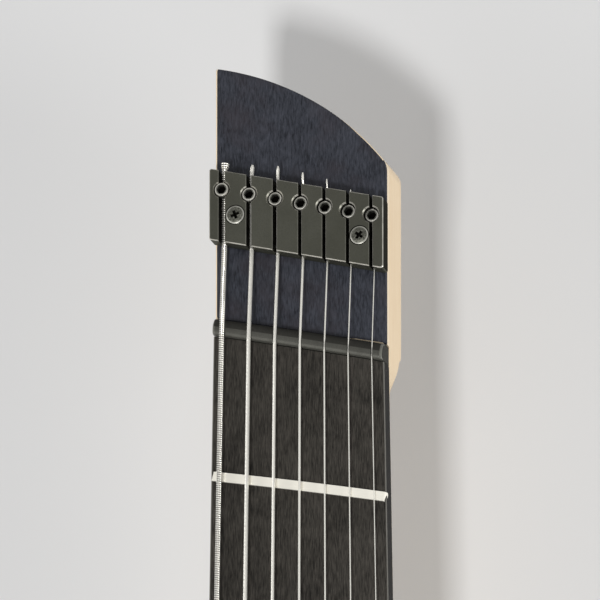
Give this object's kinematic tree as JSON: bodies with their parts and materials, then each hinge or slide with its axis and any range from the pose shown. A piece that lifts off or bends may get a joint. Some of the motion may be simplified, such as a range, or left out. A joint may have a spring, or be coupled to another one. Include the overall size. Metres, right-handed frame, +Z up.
{
  "type": "seven-string electric guitar",
  "caption": "Headless seven-string electric guitar with fanned frets: string clamp on the headstock, tuners with sliding carriages at the bridge, bolt-on neck, two pickups and their controls.",
  "frame": {"origin": "on the flat back of the body, on the neck's centre line, straight below the middle of the bridge line", "axes": "+Y from the tail towards the headstock, +Z up through the face, +X from the bass side to the treble side"},
  "size_m": [0.3164, 0.8503, 0.0601],
  "materials": {
    "natural_maple": "satin",
    "stained_wood": "satin",
    "body_wood": "satin",
    "dark_fretboard": "matt",
    "black_metal": "satin",
    "black_plastic": "satin",
    "steel": "polished"
  },
  "bodies": {
    "root": {"body_core": "body_wood", "body_top": "stained_wood", "neck": "natural_maple", "truss_rod": "steel", "fretboard": "dark_fretboard", "nut": "black_plastic", "headstock_cap": "stained_wood", "headpiece": "black_metal", "headpiece_screw_1": "black_metal", "headpiece_screw_2": "black_metal", "neck_plate": "black_metal", "bridge_base": "black_metal", "string_7": "steel", "grub_screw_7": "black_metal", "string_6": "steel", "grub_screw_6": "black_metal", "string_5": "steel", "grub_screw_5": "black_metal", "string_4": "steel", "grub_screw_4": "black_metal", "string_3": "steel", "grub_screw_3": "black_metal", "string_2": "steel", "grub_screw_2": "black_metal", "string_1": "steel", "grub_screw_1": "black_metal", "neck_pickup": "black_plastic", "bridge_pickup": "black_plastic", "volume_pot": "steel", "tone_pot": "steel", "selector_switch": "steel", "rear_cover": "black_plastic", "output_jack": "black_metal", "strap_button_horn": "black_metal", "strap_button_tail": "black_metal"},
    "saddle_7": {"saddle_7": "steel"},
    "carriage_7": {"carriage_7": "black_metal"},
    "tuner_knob_7": {"tuner_knob_7": "black_metal"},
    "saddle_6": {"saddle_6": "steel"},
    "carriage_6": {"carriage_6": "black_metal"},
    "tuner_knob_6": {"tuner_knob_6": "black_metal"},
    "saddle_5": {"saddle_5": "steel"},
    "carriage_5": {"carriage_5": "black_metal"},
    "tuner_knob_5": {"tuner_knob_5": "black_metal"},
    "saddle_4": {"saddle_4": "steel"},
    "carriage_4": {"carriage_4": "black_metal"},
    "tuner_knob_4": {"tuner_knob_4": "black_metal"},
    "saddle_3": {"saddle_3": "steel"},
    "carriage_3": {"carriage_3": "black_metal"},
    "tuner_knob_3": {"tuner_knob_3": "black_metal"},
    "saddle_2": {"saddle_2": "steel"},
    "carriage_2": {"carriage_2": "black_metal"},
    "tuner_knob_2": {"tuner_knob_2": "black_metal"},
    "saddle_1": {"saddle_1": "steel"},
    "carriage_1": {"carriage_1": "black_metal"},
    "tuner_knob_1": {"tuner_knob_1": "black_metal"},
    "volume_knob": {"volume_knob": "black_metal"},
    "tone_knob": {"tone_knob": "black_metal"},
    "selector_lever": {"selector_lever": "black_metal"}
  },
  "joints": [
    {"name": "tuner_turn_7", "type": "hinge", "parent": "root", "child": "tuner_knob_7", "pos_m": [-0.0315, -0.05176, 0.0507], "axis": [0, 1, 0], "range_deg": [-2880, 2160]},
    {"name": "carriage_slide_7", "type": "slide", "parent": "root", "child": "carriage_7", "axis": [0, -1, 0], "range_m": [-0.0048, 0.0036], "deforming": ["string_7"]},
    {"name": "saddle_slide_7", "type": "slide", "parent": "root", "child": "saddle_7", "axis": [0, 1, 0], "range_m": [-0.003, 0.003]},
    {"name": "tuner_turn_6", "type": "hinge", "parent": "root", "child": "tuner_knob_6", "pos_m": [-0.021, -0.05017, 0.0507], "axis": [0, 1, 0], "range_deg": [-2880, 2160]},
    {"name": "carriage_slide_6", "type": "slide", "parent": "root", "child": "carriage_6", "axis": [0, -1, 0], "range_m": [-0.0048, 0.0036], "deforming": ["string_6"]},
    {"name": "saddle_slide_6", "type": "slide", "parent": "root", "child": "saddle_6", "axis": [0, 1, 0], "range_m": [-0.003, 0.003]},
    {"name": "tuner_turn_5", "type": "hinge", "parent": "root", "child": "tuner_knob_5", "pos_m": [-0.0105, -0.04859, 0.0507], "axis": [0, 1, 0], "range_deg": [-2880, 2160]},
    {"name": "carriage_slide_5", "type": "slide", "parent": "root", "child": "carriage_5", "axis": [0, -1, 0], "range_m": [-0.0048, 0.0036], "deforming": ["string_5"]},
    {"name": "saddle_slide_5", "type": "slide", "parent": "root", "child": "saddle_5", "axis": [0, 1, 0], "range_m": [-0.003, 0.003]},
    {"name": "tuner_turn_4", "type": "hinge", "parent": "root", "child": "tuner_knob_4", "pos_m": [0, -0.047, 0.0507], "axis": [0, 1, 0], "range_deg": [-2880, 2160]},
    {"name": "carriage_slide_4", "type": "slide", "parent": "root", "child": "carriage_4", "axis": [0, -1, 0], "range_m": [-0.0048, 0.0036], "deforming": ["string_4"]},
    {"name": "saddle_slide_4", "type": "slide", "parent": "root", "child": "saddle_4", "axis": [0, 1, 0], "range_m": [-0.003, 0.003]},
    {"name": "tuner_turn_3", "type": "hinge", "parent": "root", "child": "tuner_knob_3", "pos_m": [0.0105, -0.04541, 0.0507], "axis": [0, 1, 0], "range_deg": [-2880, 2160]},
    {"name": "carriage_slide_3", "type": "slide", "parent": "root", "child": "carriage_3", "axis": [0, -1, 0], "range_m": [-0.0048, 0.0036], "deforming": ["string_3"]},
    {"name": "saddle_slide_3", "type": "slide", "parent": "root", "child": "saddle_3", "axis": [0, 1, 0], "range_m": [-0.003, 0.003]},
    {"name": "tuner_turn_2", "type": "hinge", "parent": "root", "child": "tuner_knob_2", "pos_m": [0.021, -0.04383, 0.0507], "axis": [0, 1, 0], "range_deg": [-2880, 2160]},
    {"name": "carriage_slide_2", "type": "slide", "parent": "root", "child": "carriage_2", "axis": [0, -1, 0], "range_m": [-0.0048, 0.0036], "deforming": ["string_2"]},
    {"name": "saddle_slide_2", "type": "slide", "parent": "root", "child": "saddle_2", "axis": [0, 1, 0], "range_m": [-0.003, 0.003]},
    {"name": "tuner_turn_1", "type": "hinge", "parent": "root", "child": "tuner_knob_1", "pos_m": [0.0315, -0.04224, 0.0507], "axis": [0, 1, 0], "range_deg": [-2880, 2160]},
    {"name": "carriage_slide_1", "type": "slide", "parent": "root", "child": "carriage_1", "axis": [0, -1, 0], "range_m": [-0.0048, 0.0036], "deforming": ["string_1"]},
    {"name": "saddle_slide_1", "type": "slide", "parent": "root", "child": "saddle_1", "axis": [0, 1, 0], "range_m": [-0.003, 0.003]},
    {"name": "volume_turn", "type": "hinge", "parent": "root", "child": "volume_knob", "pos_m": [0.098, 0.02, 0.044], "axis": [0, 0, 1], "range_deg": [0, 280]},
    {"name": "tone_turn", "type": "hinge", "parent": "root", "child": "tone_knob", "pos_m": [0.108, -0.02, 0.044], "axis": [0, 0, 1], "range_deg": [0, 280]},
    {"name": "selector_tilt", "type": "hinge", "parent": "root", "child": "selector_lever", "pos_m": [0.08, 0.064, 0.024], "axis": [1, 0, 0], "range_deg": [-20, 20]}
  ],
  "couplings": [
    {"joint": "tuner_turn_7", "follows": "carriage_slide_7", "rad_per_m": 10472},
    {"joint": "tuner_turn_6", "follows": "carriage_slide_6", "rad_per_m": 10472},
    {"joint": "tuner_turn_5", "follows": "carriage_slide_5", "rad_per_m": 10472},
    {"joint": "tuner_turn_4", "follows": "carriage_slide_4", "rad_per_m": 10472},
    {"joint": "tuner_turn_3", "follows": "carriage_slide_3", "rad_per_m": 10472},
    {"joint": "tuner_turn_2", "follows": "carriage_slide_2", "rad_per_m": 10472},
    {"joint": "tuner_turn_1", "follows": "carriage_slide_1", "rad_per_m": 10472}
  ]
}
